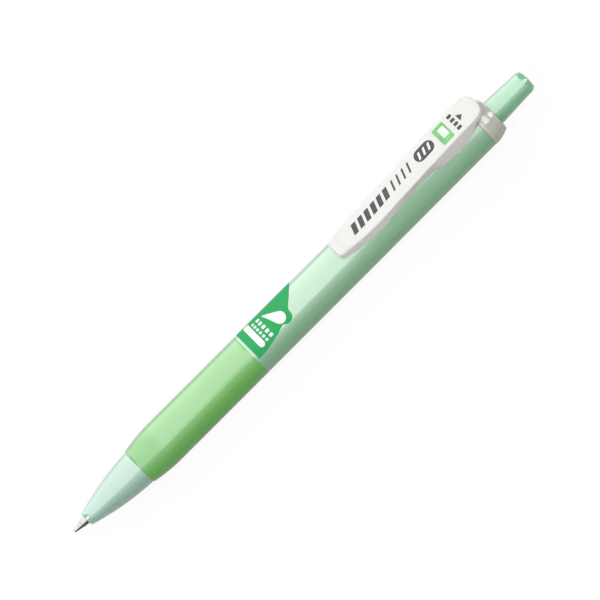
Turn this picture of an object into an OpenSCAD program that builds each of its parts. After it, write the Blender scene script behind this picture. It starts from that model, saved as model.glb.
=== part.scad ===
// Retractable ballpoint pen with a rocking safety clip.
// Pressing the button pushes the refill forward until a spring latch hooks behind the crown.
// Pressing the rear of the clip opens its jaw, and its stud pushes the latch free, so the tip
// springs back. Inside the modules, x runs along the pen from the ball (0) to the button,
// and z is the height above the pen's axis. The finished pen lies on its side, clip up.

/* [Overall] */
// How far the writing tip stands out of the nose when it is ready to write
tip_out = 3.8; // [3:0.1:4.4]
// Length of the nose cone that shows
nose_len = 16.6; // [15.5:0.1:24]
// Length of the grip sleeve
grip_len = 35; // [24:0.5:45]
// Length of the barrel that shows behind the grip
body_len = 71.4; // [60:0.2:90]
// Length of the crown behind the barrel
crown_len = 4.2; // [3.4:0.1:6]
// How far the button stands out of the crown when the tip is out
button_out = 11; // [8:0.5:14]

/* [Refill] */
// Radius of the ball
ball_r = 0.19; // [0.19:0.01:0.35]
// Radius of the straight part of the metal tip
tip_r = 1.15; // [1:0.01:1.4]
// Length of the metal tip
tip_len = 13; // [11.5:0.1:14]
// Wall of the tip holder round the metal tip
holder_wall = 0.3; // [0.25:0.01:0.4]
// Radius of the refill tube
tube_r = 3; // [2.8:0.02:3.6]
// Wall of the refill tube
tube_wall = 0.5; // [0.3:0.05:0.6]
// How far the tube stands out past the tip holder
holder_step = 0.4; // [0.3:0.05:0.5]
// Length of the plugs at both ends of the refill tube
plug_len = 6; // [4:0.5:8]
// Length of the ink in the tube
ink_len = 51; // [20:1:52]
// Length of the grease that follows the ink
grease_len = 5; // [3:0.5:6]

/* [Barrel and grip] */
// Radius of the straight part of the barrel
barrel_r = 5.43; // [5.2:0.01:6.6]
// How much narrower the barrel is where it meets the crown
barrel_taper = 0.1; // [0:0.05:0.2]
// Length of the straight part of the barrel behind the grip
straight_len = 28.6; // [18:0.2:32]
// Wall of the barrel's core round the nose's thread
core_wall = 0.57; // [0.4:0.01:0.6]
// Gap between the refill tube and the core
tube_gap = 0.25; // [0.15:0.01:0.3]
// Length of the solid step between the barrel's bore and its core
core_step = 1.6; // [1:0.1:3]
// How far the grip stands proud of the barrel
grip_proud = 0.02; // [0:0.01:0.5]
// Length over which the grip swells to its full radius
grip_swell = 8.1; // [6:0.1:12]

/* [Label] */
// Gap from the grip to the label's front edge
label_gap = 0.7; // [0.3:0.1:2]
// Length of the label along the barrel
label_len = 16.6; // [12:0.2:18]
// Thickness of the label film
label_t = 0.04; // [0.03:0.01:0.08]
// Turn of the label's middle from the clip, round the pen
label_turn = 60; // [0:5:90]
// How far the label reaches past the barrel's side
label_reach = 1.95; // [0.5:0.05:3]
// How far the label's rear edge bows out
label_bulge = 2; // [0.5:0.1:2.4]

/* [Nose] */
// How far the nose's rear edge stands past the barrel's core
nose_lip = 0.2; // [0.1:0.01:0.3]
// How far the grip's front edge stands past the nose
grip_edge = 0.17; // [0.1:0.01:0.3]
// How far the nose bulges past a straight cone
nose_bulge = 0.5; // [0.2:0.05:0.7]
// Gap round the metal tip where it leaves the nose
tip_gap = 0.1; // [0.07:0.01:0.2]
// Width of the nose's front rim
rim_w = 0.4; // [0.35:0.05:0.6]
// Depth of the spring's seat behind the front rim
seat_depth = 4.4; // [4.2:0.1:5]
// Wall of the threaded spigot
spigot_wall = 0.7; // [0.5:0.05:0.8]
// Length of the threaded spigot
spigot_len = 6; // [5.5:0.5:7]
// Height of the thread
thread_h = 0.22; // [0.15:0.01:0.3]
// Distance from one thread ridge to the next
thread_pitch = 1.2; // [1.1:0.05:1.3]
// Number of thread ridges
thread_turns = 4; // [3:1:4]

/* [Crown and button] */
// How far the button goes back when the latch lets go
travel = 5; // [4.2:0.1:6]
// How far the button goes past the latch when it is pressed
over_travel = 1; // [0.6:0.1:1]
// Length of the lip that stops the slider
lip_len = 1.5; // [1:0.1:2]
// Width of the slider's shoulder that meets the lip
stop_w = 0.35; // [0.2:0.05:0.4]
// How much narrower the button is near its end
button_taper = 0.3; // [0.1:0.05:0.5]
// Width of the crown's rear face
face_w = 0.8; // [0.6:0.05:1]
// Wall of the crown's sleeve inside the barrel
sleeve_wall = 0.4; // [0.35:0.05:0.5]
// Length of the crown's sleeve ahead of the clip's pivot
sleeve_ahead = 6.5; // [5:0.5:9]
// Length of the slider, without its cup
slider_len = 13.8; // [12.5:0.2:16]
// Depth of the cup that holds the refill's tail
cup_len = 1.9; // [1.5:0.1:3]
// Wall of that cup
cup_wall = 0.35; // [0.3:0.05:0.5]
// Thickness of the latch's arm
latch_t = 0.45; // [0.35:0.05:0.5]
// Width of the latch
latch_w = 1.8; // [1.5:0.1:2]
// How far the latch's hook reaches past the crown's bore
hook_reach = 0.65; // [0.5:0.05:0.7]
// Length of the hook along the pen
hook_len = 1.7; // [1.4:0.1:1.9]

/* [Clip] */
// Length of the clip
clip_len = 45.4; // [38:0.2:54]
// Length of the clip behind its pivot
clip_tail = 11.4; // [10:0.1:12]
// Length of the jaw
jaw_len = 11.5; // [10:0.5:14]
// Half the clip's width
clip_half_w = 3.37; // [3.2:0.01:4]
// Half the clip's width at its front end
clip_front_half_w = 2.35; // [2:0.05:2.6]
// Thickness of the clip's top
clip_t = 1.3; // [1:0.05:1.35]
// Thickness of the clip's cheeks
cheek_t = 0.97; // [0.85:0.01:1.1]
// Height of the clip's front end above the barrel
clip_front_rise = 1.52; // [1.5:0.01:2]
// Height of the clip's rear end above the barrel
clip_rear_rise = 4.17; // [4.15:0.01:4.8]
// How far the lug's underside lies below the top of the barrel
lug_drop = 0.45; // [0.2:0.01:0.6]
// Height of the pivot above the barrel
pivot_rise = 1.17; // [1.1:0.01:1.3]
// Radius of the pivot pin
pin_r = 0.7; // [0.58:0.02:0.84]
// Wall of the bracket's knuckle round the pivot pin
knuckle_wall = 0.45; // [0.3:0.05:0.5]
// Width of the bracket
bracket_w = 3.8; // [3.2:0.1:4.2]
// Largest turn of the clip, in degrees
clip_open = 10; // [6:0.5:10]
// Radius of the stud that pushes the latch free
stud_r = 0.5; // [0.4:0.05:0.55]
// Distance of the stud behind the pivot
stud_back = 4.9; // [4.7:0.1:5]

/* [Springs] */
// Wire diameter of the return spring
return_wire = 0.35; // [0.25:0.01:0.42]
// Length of the return spring when the tip is out
return_len = 7.8; // [6.5:0.1:9]
// Turns of the return spring
return_turns = 8; // [5:0.5:10]
// Gap on each side of the return spring's wire
return_gap = 0.2; // [0.1:0.01:0.25]
// Wire diameter of the clip's spring
clip_wire = 0.3; // [0.2:0.01:0.35]
// Turns of the clip's spring
clip_turns = 4; // [3:0.5:5]

/* [Fits] */
// Gap between pieces that are pressed or stretched together
snug = 0.02; // [0.01:0.01:0.04]
// Gap round a turning pin
running = 0.05; // [0.02:0.01:0.1]
// Gap between pieces that slide past each other
slide_gap = 0.15; // [0.1:0.01:0.2]
// Gap in the nose's thread
thread_gap = 0.06; // [0.03:0.01:0.1]
// Gap between the closed jaw and the barrel
jaw_gap = 0.1; // [0.05:0.01:0.2]

/* [Hidden] */
$fn = 96;
eps = 0.01;

// Places along the pen, counted from the ball.
nose_end = tip_out + nose_len;
grip_end = nose_end + grip_len;
seam = grip_end + body_len;
crown_end = seam + crown_len;
pen_len = crown_end + button_out;
straight_end = grip_end + straight_len;
spring_seat = tip_out + seat_depth;
shoulder = spring_seat + return_len;
tube_front = nose_end + spigot_len + over_travel + 0.6;
lip_front = crown_end - lip_len;
slider_rear = lip_front - travel - 0.2;
lock_face = slider_rear + 0.1;
window_front = lock_face - hook_len - over_travel - 0.3;
slider_front = slider_rear - slider_len;
tube_rear = slider_front - 2;
stud_x = lock_face - 1;
pivot_x = stud_x - stud_back;
clip_rear = pivot_x + clip_tail;
clip_front = clip_rear - clip_len;
clip_knee = clip_front + jaw_len - 1;

// Radii, worked outwards from the refill.
tube_bore_r = tube_r - tube_wall;
holder_r = tube_r - holder_step;
holder_front_r = tip_r + holder_wall;
return_r = holder_front_r + return_gap + return_wire / 2;
chamber_r = return_r + return_wire / 2 + return_gap;
orifice_r = tip_r + tip_gap;
nose_front_r = orifice_r + rim_w;
nose_bore_r = holder_r + slide_gap;
spigot_r = nose_bore_r + spigot_wall;
thread_r = spigot_r + thread_h;
socket_r = spigot_r + thread_gap;
core_r = thread_r + thread_gap + core_wall;
core_bore_r = tube_r + tube_gap;
nose_r = core_r + nose_lip;
grip_front_r = nose_r + grip_edge;
grip_r = barrel_r + grip_proud;
slider_r = tube_r + slide_gap + cup_wall;
guide_r = slider_r + slide_gap;
bore_r = guide_r + sleeve_wall + 0.1;
button_r = slider_r - stop_w;
button_end_r = button_r - button_taper;
button_socket_r = 1.3;
crown_face_r = button_r + face_w;
barrel_rear_r = barrel_r - barrel_taper;

// Heights above the pen's axis.
hook_h = guide_r + hook_reach;
latch_drop = hook_reach + 0.05;
latch_base = button_socket_r + 0.45 + latch_drop;
latch_top = latch_base + latch_t;
web_top = barrel_rear_r - 0.08;
spring_base = web_top + 0.15;
pivot_h = barrel_rear_r + pivot_rise;
lug_h = barrel_rear_r - lug_drop;
clip_front_h = barrel_r + clip_front_rise;
clip_rear_h = barrel_rear_r + clip_rear_rise;
clip_roof_h = clip_rear_h - 0.2 - clip_t;
axis_height = max(grip_r, barrel_r);
slot_half = bracket_w / 2 + 0.1;
knuckle_r = pin_r + knuckle_wall;
clip_spring_r = 1.2;

// Outline helpers: points are [place along the pen, radius or height].
function arc(centre, radius, from, to, steps = 12) =
    [for (i = [0:steps]) let (a = from + (to - from) * i / steps)
        centre + radius * [cos(a), sin(a)]];
// A circular arc from a to b that stands out by bulge at its middle.
function bulged(a, b, bulge, steps = 12) =
    let (chord = norm(b - a), half = 2 * atan(2 * bulge / chord), r = chord / 2 / sin(half),
         lean = atan2(b[1] - a[1], b[0] - a[0]),
         centre = (a + b) / 2 + (r * cos(half)) * [sin(lean), -cos(lean)])
    arc(centre, r, 90 + lean + half, 90 + lean - half, steps);
// One ring of the thread, grown by a gap on each flank.
function ridge(x, base_r, gap) =
    [[x - gap, base_r], [x + 0.3 - gap, thread_r + gap], [x + 0.55 + gap, thread_r + gap],
     [x + 0.85 + gap, base_r]];
function thread(base_r, gap) =
    [for (i = [0:thread_turns - 1]) each ridge(nose_end + 1.3 + i * thread_pitch, base_r, gap)];
function reversed(list) = [for (i = [len(list) - 1:-1:0]) list[i]];

// A body turned round the pen's axis.
module turned(outline) rotate([0, 90, 0]) rotate_extrude() polygon([for (p = outline) [p[1], p[0]]]);
// A side view, extruded across the pen.
module across(width) rotate([90, 0, 0]) linear_extrude(width, center = true) children();
// A block in x, centred in y, between two heights.
module block(x0, x1, width, z0, z1) translate([x0, -width / 2, z0]) cube([x1 - x0, width, z1 - z0]);
// A pin across the pen.
module cross_pin(x, z, r, width) translate([x, 0, z]) rotate([90, 0, 0]) cylinder(width, r = r, center = true);

// A round wire wound into a coil along z.
module coil(r, wire, length, turns) {
    sides = 8;
    per_turn = 16;
    rings = round(turns * per_turn);
    pitch_angle = atan(length / (turns * 2 * PI * r));
    function ring(i) = let (a = 360 * i / per_turn, h = length * i / rings)
        [for (j = [0:sides - 1]) let (b = 360 * j / sides, out = r + wire / 2 * cos(b), up = wire / 2 * sin(b))
            [out * cos(a) + up * sin(a) * sin(pitch_angle), out * sin(a) - up * cos(a) * sin(pitch_angle),
             h + up * cos(pitch_angle)]];
    points = [for (i = [0:rings]) each ring(i)];
    walls = [for (i = [0:rings - 1]) for (j = [0:sides - 1]) let (k = (j + 1) % sides, low = i * sides, high = low + sides)
        each [[low + j, high + j, low + k], [low + k, high + j, high + k]]];
    ends = [[for (j = [0:sides - 1]) j], [for (j = [sides - 1:-1:0]) rings * sides + j]];
    polyhedron(points, concat(walls, ends));
}

module barrel() color("#b9e2c8") difference() {
    turned(concat(
        [[nose_end, core_r], [grip_end, core_r], [grip_end, barrel_r], [straight_end, barrel_r],
         [seam, barrel_rear_r], [seam, bore_r], [grip_end + core_step + 0.9, bore_r],
         [grip_end + core_step, core_bore_r], [nose_end + spigot_len + 0.8, core_bore_r],
         [nose_end + spigot_len + 0.8, socket_r]],
        reversed(thread(socket_r, thread_gap)), [[nose_end, socket_r]]));
    block(pivot_x - 3.6, seam + eps, slot_half * 2, 0, barrel_r + 1);
}

module grip_sleeve() color("#8fd07f") turned(concat(
    [[nose_end, core_r + snug], [nose_end, grip_front_r - 0.14]],
    bulged([nose_end + 0.14, grip_front_r], [nose_end + grip_swell, grip_r], 0.19),
    [[grip_end - 0.4, grip_r], [grip_end, grip_r - 0.12], [grip_end, core_r + snug]]));

module nose_cone() color("#d3ebe0") turned(concat(
    [[tip_out, orifice_r], [tip_out, nose_front_r - 0.3], [tip_out + 0.1, nose_front_r - 0.07]],
    bulged([tip_out + 0.4, nose_front_r + 0.12], [nose_end, nose_r], nose_bulge),
    [[nose_end, spigot_r]], thread(spigot_r, 0),
    [[nose_end + spigot_len, spigot_r], [nose_end + spigot_len, nose_bore_r],
     [shoulder - over_travel - 0.2, nose_bore_r], [shoulder - over_travel - 0.2, chamber_r],
     [spring_seat, chamber_r], [spring_seat, orifice_r]]));

// The film's outline is a sail: a straight front edge and a bowed rear edge.
module label_film() color("#2fae6e") intersection() {
    front = grip_end + label_gap;
    turned([[front - 1, barrel_r + snug], [front - 1, barrel_r + snug + label_t],
            [front + label_len + 1, barrel_r + snug + label_t], [front + label_len + 1, barrel_r + snug]]);
    rotate([-label_turn, 0, 0]) across(barrel_r * 3) polygon(concat(
        [[front, barrel_r + 1], [front, -label_reach]],
        reversed(bulged([front + label_len, barrel_r + 0.1], [front + 0.4, -label_reach], label_bulge))));
}

module crown() color("#dcdcd8") difference() {
    union() {
        turned(concat(
            [[pivot_x - sleeve_ahead, guide_r], [pivot_x - sleeve_ahead, bore_r - 0.1], [seam, bore_r - 0.1]],
            bulged([seam, barrel_rear_r + 0.08], [crown_end - 0.6, crown_face_r + 0.75], 0.18),
            arc([crown_end - 0.75, crown_face_r], 0.75, 78, 0, 6),
            [[crown_end, button_r + 0.1], [lip_front, button_r + 0.1], [lip_front, guide_r]]));
        block(pivot_x - 3.4, seam + 0.5, bracket_w, bore_r - 0.4, web_top);
        block(pivot_x - knuckle_r, pivot_x + knuckle_r, bracket_w, web_top - 0.2, pivot_h);
        cross_pin(pivot_x, pivot_h, knuckle_r, bracket_w);
        translate([stud_x, 0, web_top - 0.2]) cylinder(spring_base - web_top + 0.2, r = bracket_w / 2 - 0.05);
    }
    rotate([0, 90, 0]) cylinder(lip_front, r = guide_r);
    cross_pin(pivot_x, pivot_h, pin_r + 0.01, bracket_w + 1);
    block(window_front, lock_face, latch_w + 0.4, 0, hook_h + 0.25);
    block(stud_x - stud_r - 0.6, stud_x + stud_r + 0.15, stud_r * 2 + 0.3, hook_h, spring_base + 1);
}

module pivot_pin() color("#b8bcc0") cross_pin(pivot_x, pivot_h, pin_r, clip_half_w * 2 - 1);

// The clip's side view, clockwise from the front of its top.
function clip_top() = [[clip_front, clip_front_h], [clip_knee, clip_front_h + 0.13],
    [pivot_x - 5.5, clip_rear_h - 0.82], [clip_rear - 5.4, clip_rear_h - 0.05], [clip_rear, clip_rear_h]];
function clip_underside() =
    let (lug = pivot_x - 3.3, nib = pivot_x + 1.1, jaw = clip_front + jaw_len) [
    [clip_rear, clip_rear_h - 1.1], [clip_rear - 2.8, clip_rear_h - 1.4], [pivot_x + 6.5, lug_h + 1.87],
    [pivot_x + 4.3, lug_h + 0.2], [nib + 0.7, lug_h], [nib + 0.3, lug_h - 0.35], [nib - 0.3, lug_h - 0.35],
    [nib - 0.7, lug_h], [lug, lug_h], [lug - 0.6, lug_h + 0.2], [lug - 1.3, lug_h + 1.27],
    [lug - 2.2, lug_h + 1.62], [lug - 3.5, lug_h + 1.75], [(jaw + lug) / 2, lug_h + 1.05],
    [jaw + 4.6, lug_h + 0.3], [jaw + 2.4, lug_h], [jaw, lug_h - 0.9], [clip_front, lug_h - 0.9]];
// The clip's top view: a straight front with rounded corners, bowed sides and an oval rear.
function clip_side() = concat(
    arc([clip_front + 1, clip_front_half_w - 0.9], 1, 180, 100, 6),
    bulged([clip_front + 1.4, clip_front_half_w + 0.14], [clip_front + 12.5, clip_half_w], 0.25, 8),
    [for (a = [90:-10:0]) [clip_rear - 4.7 + 4.7 * cos(a), clip_half_w * sin(a)]]);
// The barrel's outline with the jaw's gap round it, as the clip meets it at one turn of its travel.
module barrel_space(turn, x0, x1) translate([pivot_x, 0, pivot_h]) rotate([0, -turn, 0])
    translate([x0 - pivot_x, 0, -pivot_h]) rotate([0, 90, 0]) cylinder(x1 - x0, r = barrel_r + jaw_gap);
module clip() color("#f2f0ee") {
    difference() {
        intersection() {
            across(20) polygon(concat(clip_top(), clip_underside()));
            linear_extrude(20) polygon(concat(clip_side(), [for (p = reversed(clip_side())) [p[0], -p[1]]]));
        }
        across((clip_half_w - cheek_t) * 2) polygon(concat(
            [for (p = clip_top()) if (p[0] < clip_rear - 1) [max(p[0], clip_front + 4), p[1] - clip_t]],
            [[clip_rear - 2.4, clip_rear_h - clip_t - 0.05], [clip_rear - 2.4, 0], [clip_front + 4, 0]]));
        cross_pin(pivot_x, pivot_h, pin_r + running, clip_half_w * 2 - 0.9);
        barrel_space(0, clip_front - 1, clip_rear + 1);
        barrel_space(clip_open, pivot_x - 10, clip_rear + 5);
    }
    translate([stud_x, 0, hook_h + 0.1]) cylinder(clip_roof_h - hook_h, r = stud_r);
}

module clip_spring() color("#9aa0a4") translate([stud_x, 0, spring_base + clip_wire / 2])
    coil(clip_spring_r, clip_wire, clip_roof_h - spring_base - clip_wire - 0.15, clip_turns);

module push_button() color("#a9dcbb") turned(concat(
    [[slider_rear - 9, 0], [slider_rear - 9, button_socket_r - 0.3], [slider_rear - 8.7, button_socket_r - snug],
     [slider_rear, button_socket_r - snug], [slider_rear, button_r], [crown_end + 0.5, button_r],
     [pen_len - 4, button_end_r], [pen_len - 1.7, button_end_r - 0.07]],
    [for (a = [15:15:75]) [pen_len - 1.7 + 1.4 * sin(a), button_end_r - 0.77 + 0.7 * cos(a)]],
    bulged([pen_len - 0.25, button_end_r - 0.85], [pen_len, 0], 0.06, 4)));

module slider() color("#e9e9e6") difference() {
    turned([[slider_front, 0], [slider_front, tube_r + slide_gap], [slider_front - cup_len, tube_r + slide_gap],
            [slider_front - cup_len, slider_r], [slider_rear, slider_r], [slider_rear, 0]]);
    translate([slider_rear - 9.2, 0, 0]) rotate([0, 90, 0]) cylinder(10, r = button_socket_r);
    block(slider_front + 2.8, slider_rear + 1, latch_w + 0.2, latch_base - latch_drop, slider_r + 1);
    block(slider_front + 1, slider_front + 3, latch_w + 2 * snug, latch_base - snug, latch_top + snug);
}

module latch_leaf() color("#a8adb2") across(latch_w) polygon([
    [slider_front + 1 + snug, latch_base], [slider_rear, latch_base], [slider_rear, hook_h],
    [slider_rear - hook_len + 0.9, hook_h], [slider_rear - hook_len - 0.2, latch_top],
    [slider_front + 1 + snug, latch_top]]);

module refill_tube() color("#e6eeea") turned([[tube_front, tube_bore_r], [tube_front, tube_r],
    [tube_rear, tube_r], [tube_rear, tube_bore_r]]);

module tip_holder() color("#f4f4f0") turned([
    [shoulder - 6.6, tip_r + snug], [shoulder - 6.6, holder_front_r - 0.1], [shoulder - 6.4, holder_front_r],
    [shoulder, holder_front_r], [shoulder, holder_r], [tube_front, holder_r],
    [tube_front, tube_bore_r - snug], [tube_front + plug_len, tube_bore_r - snug],
    [tube_front + plug_len, 0.9], [tip_len, 0.9], [tip_len, tip_r + snug]]);

module writing_tip() color("#c9cdd0") difference() {
    rim = ball_r * 0.42;
    turned([[rim, 0], [rim, ball_r + 0.07], [tip_out, tip_r - 0.25], [tip_out + 1.4, tip_r], [tip_len, tip_r],
            [tip_len, 0.75], [tip_out + 0.5, 0.7], [ball_r * 2 + 1, 0.14], [ball_r * 2 - 0.05, 0.14], [ball_r, 0]]);
    translate([ball_r, 0, 0]) sphere(ball_r + 0.015);
}

module ball() color("#8e9498") translate([ball_r, 0, 0]) sphere(ball_r);

module ink() color("#15171a") turned([[tube_front + plug_len, 0], [tube_front + plug_len, tube_bore_r - snug],
    [tube_front + plug_len + ink_len, tube_bore_r - snug], [tube_front + plug_len + ink_len, 0]]);

module follower_grease() color("#e8dfae") translate([ink_len, 0, 0]) turned([
    [tube_front + plug_len, 0], [tube_front + plug_len, tube_bore_r - snug],
    [tube_front + plug_len + grease_len, tube_bore_r - snug], [tube_front + plug_len + grease_len, 0]]);

module tail_plug() color("#f4f4f0") turned([[tube_rear - plug_len, 0.8], [tube_rear - plug_len, tube_bore_r - snug],
    [tube_rear, tube_bore_r - snug], [tube_rear, tube_r], [slider_front, tube_r], [slider_front, 0.8]]);

module return_spring() color("#9aa0a4") translate([spring_seat + return_wire / 2, 0, 0]) rotate([0, 90, 0])
    coil(return_r, return_wire, shoulder - spring_seat - return_wire, return_turns);

// Lays the pen down with its lowest line at z = 0 and its middle at x = 0.
module laid() translate([-pen_len / 2, 0, axis_height]) children();

laid() barrel();
laid() grip_sleeve();
laid() nose_cone();
laid() label_film();
laid() crown();
laid() pivot_pin();
laid() clip();
laid() clip_spring();
laid() push_button();
laid() slider();
laid() latch_leaf();
laid() refill_tube();
laid() tip_holder();
laid() writing_tip();
laid() ball();
laid() ink();
laid() follower_grease();
laid() tail_plug();
laid() return_spring();
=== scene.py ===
# %% [markdown]
# # A click pen with a rocking clip
# A retractable ballpoint pen is a few moulded plastic shells round a refill. Pressing the button
# pushes the refill out, and pressing the tail of the clip lets it spring back. The engineering
# model already says where everything is and how it moves. This lesson loads that model as a
# frame, gives each visible shell its own smooth surface, and then gives every part its finish.

# %% Load the frame
import math

import bmesh
import bpy
from mathutils import Matrix, Vector


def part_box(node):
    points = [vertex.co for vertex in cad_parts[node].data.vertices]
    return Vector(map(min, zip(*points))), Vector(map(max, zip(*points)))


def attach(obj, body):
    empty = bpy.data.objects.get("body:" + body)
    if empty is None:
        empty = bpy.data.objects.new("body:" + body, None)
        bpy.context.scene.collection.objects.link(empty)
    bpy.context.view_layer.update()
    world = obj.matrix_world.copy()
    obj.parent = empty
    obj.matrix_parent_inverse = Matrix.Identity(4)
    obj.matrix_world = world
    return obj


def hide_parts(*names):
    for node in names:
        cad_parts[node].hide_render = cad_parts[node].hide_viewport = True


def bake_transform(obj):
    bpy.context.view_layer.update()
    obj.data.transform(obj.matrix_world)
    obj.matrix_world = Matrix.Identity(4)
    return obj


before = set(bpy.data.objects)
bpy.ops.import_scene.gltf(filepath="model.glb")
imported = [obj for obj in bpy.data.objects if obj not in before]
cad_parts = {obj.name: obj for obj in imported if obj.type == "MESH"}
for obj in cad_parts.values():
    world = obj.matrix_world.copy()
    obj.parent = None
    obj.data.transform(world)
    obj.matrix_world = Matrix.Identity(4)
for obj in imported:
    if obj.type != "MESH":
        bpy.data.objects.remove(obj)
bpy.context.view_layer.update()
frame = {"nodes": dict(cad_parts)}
print("nodes:", ", ".join(frame["nodes"]))

# %% [markdown]
# ## Measuring along the pen
# A pen is easiest to describe from its tip: so many millimetres back from the ball, and so many
# out from the axis. The frame gives the box round each solid, so the places where one shell
# meets the next are read from it and not typed again. The small sizes inside a shell, such as
# the radius of a bore, are typed where they are used.

# %% Places along the pen
MM = 0.001
ball_low, ball_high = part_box("ball")
BALL_X = ball_low[0]
AXIS_Z = (ball_low[2] + ball_high[2]) / 2


def place(along, height=0.0, across=0.0):
    """A point of the pen: millimetres behind the ball, above the axis, and across it."""
    return Vector((BALL_X + along * MM, across * MM, AXIS_Z + height * MM))


def span(node):
    """Where a solid begins and ends, in millimetres behind the ball."""
    low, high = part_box(node)
    return round((low[0] - BALL_X) / MM, 3), round((high[0] - BALL_X) / MM, 3)


def radius(node):
    """Half of a turned solid's width, in millimetres."""
    low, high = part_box(node)
    return round((high[1] - low[1]) / 2 / MM, 3)


NOSE_FRONT = span("nose_cone")[0]
GRIP_FRONT, GRIP_REAR = span("grip_sleeve")
BARREL_REAR = span("barrel")[1]
CROWN_FRONT, CROWN_REAR = span("crown")
BUTTON_FRONT, BUTTON_REAR = span("push_button")
CLIP_FRONT, CLIP_REAR = span("clip")
BARREL_R = radius("barrel")
GRIP_R = radius("grip_sleeve")
BARREL_REAR_R = BARREL_R - 0.1
PIVOT = (sum(span("pivot_pin")) / 2, (sum(p[2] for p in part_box("pivot_pin")) / 2 - AXIS_Z) / MM)
STUD = (sum(span("clip_spring")) / 2, 4.4)
print("nose", NOSE_FRONT, "grip", GRIP_FRONT, GRIP_REAR, "barrel end", BARREL_REAR)
print("crown end", CROWN_REAR, "button end", BUTTON_REAR, "clip", CLIP_FRONT, CLIP_REAR)
print("barrel radius", BARREL_R, "pivot", PIVOT, "stud", STUD)

# %% [markdown]
# ## Helpers for modelling
# Every new piece starts as a small plane that is merged to one corner, and that corner is pulled
# along an outline, as one draws with the extrude key. From there a turned part is spun round
# the pen's axis, and a flat part is filled. A primitive comes in selected and the frame's
# solids are selected too, so everything is deselected before each piece.

# %% Starting and drawing a piece


def make_active(piece):
    """Select one piece alone."""
    bpy.ops.object.select_all(action="DESELECT")
    piece.select_set(True)
    bpy.context.view_layer.objects.active = piece


def begin(name, point):
    """Start a piece in edit mode with a single corner at a point."""
    bpy.ops.object.select_all(action="DESELECT")
    bpy.ops.mesh.primitive_plane_add(size=MM, location=point)
    piece = bpy.context.object
    piece.name = name
    piece.data.name = name
    bpy.ops.object.transform_apply(location=True, rotation=True, scale=True)
    bpy.ops.object.mode_set(mode="EDIT")
    bpy.ops.mesh.select_mode(type="VERT")
    bpy.ops.mesh.merge(type="CENTER")
    return piece


def draw(points):
    """Pull the selected corner from point to point."""
    for here, there in zip(points, points[1:]):
        bpy.ops.mesh.extrude_vertices_move(TRANSFORM_OT_translate={"value": there - here})


def seal():
    """Weld the doubles of the piece in edit mode, point its faces outwards and leave edit mode."""
    bpy.ops.mesh.select_all(action="SELECT")
    bpy.ops.mesh.remove_doubles(threshold=0.001 * MM)
    bpy.ops.mesh.normals_make_consistent(inside=False)
    bpy.ops.object.mode_set(mode="OBJECT")


# %% [markdown]
# ## Turned pieces
# Most of a pen is round, so its shells are made as on a lathe: an outline of points, each so far
# along the pen and so far from its axis, is spun once round. A helper works out the points of
# a long gentle curve, which would be tedious to type.

# %% Turning a piece on the pen's axis
TURN_STEPS = 96


def turned(name, outline, steps=TURN_STEPS):
    """Spin an outline of (along, radius) points once round the pen's axis."""
    points = [place(*point) for point in outline]
    piece = begin(name, points[0])
    draw(points)
    bpy.ops.mesh.select_all(action="SELECT")
    bpy.ops.mesh.spin(steps=steps, angle=math.tau, center=place(0), axis=(1, 0, 0))
    seal()
    return piece


def bowed(start, end, bulge, steps=10):
    """Outline points on the arc from start to end whose middle stands out by bulge."""
    a, b = Vector(start), Vector(end)
    chord = (b - a).length
    half = 2 * math.atan(2 * bulge / chord)
    swing = chord / 2 / math.sin(half)
    way = (b - a) / chord
    out = Vector((-way[1], way[0]))
    centre = (a + b) / 2 - out * swing * math.cos(half)
    turns = [half * (1 - 2 * step / steps) for step in range(steps + 1)]
    return [tuple(centre + swing * (out * math.cos(t) - way * math.sin(t))) for t in turns]


# %% [markdown]
# ## Helpers for finishing a shape
# Openings are cut, and brackets joined on, with a Boolean, which is quick and exact. Every
# modifier is applied at once, so the finished piece is a plain mesh. The tools for cutting are
# boxes and round rods. Real mouldings have no razor edges, so the turned outlines carry their
# own small roundings, and shading stays smooth except where a surface turns sharply.

# %% Cuts, smooth shading and simple solids


def apply(piece, kind, **settings):
    """Add a modifier with its settings and apply it at once."""
    modifier = piece.modifiers.new(kind.lower(), kind)
    for name, value in settings.items():
        setattr(modifier, name, value)
    make_active(piece)
    bpy.ops.object.modifier_apply(modifier=modifier.name)


def cut(piece, tool, operation="DIFFERENCE"):
    """Cut a piece with a tool, or join the two, and throw the tool away."""
    apply(piece, "BOOLEAN", object=tool, operation=operation, solver="EXACT")
    bpy.data.objects.remove(tool)


def shade(piece, angle=35):
    """Shade a piece smooth, with a crease where it turns sharply."""
    make_active(piece)
    bpy.ops.object.shade_smooth_by_angle(angle=math.radians(angle))
    print(piece.name, len(piece.data.polygons), "faces")


def block(low, high):
    """A box between two points."""
    bpy.ops.object.select_all(action="DESELECT")
    bpy.ops.mesh.primitive_cube_add(size=1, location=(low + high) / 2, scale=high - low)
    bpy.ops.object.transform_apply(location=True, rotation=True, scale=True)
    return bpy.context.object


def rod(start, end, thickness, sides=64):
    """A round rod from one point to another, its radius in millimetres."""
    way = end - start
    bpy.ops.object.select_all(action="DESELECT")
    bpy.ops.mesh.primitive_cylinder_add(
        vertices=sides, radius=thickness * MM, depth=way.length, location=(start + end) / 2,
        rotation=way.to_track_quat("Z", "Y").to_euler())
    bpy.ops.object.transform_apply(location=True, rotation=True, scale=True)
    return bpy.context.object


# %% [markdown]
# ## Helpers for materials
# Each finish is a small network of nodes. Colours are written as the usual hex codes, which one
# function turns into the linear values that a shader works in. Patterns read object coordinates,
# which are metres here, so a grain of a given size in millimetres has a scale of one over it.

# %% Colours and nodes


def linear(colour):
    """Turn an sRGB hex colour into the linear colour that shaders take."""
    channels = [int(colour[i:i + 2], 16) / 255 for i in (1, 3, 5)]
    return (*(c / 12.92 if c <= 0.04045 else ((c + 0.055) / 1.055) ** 2.4 for c in channels), 1.0)


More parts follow.
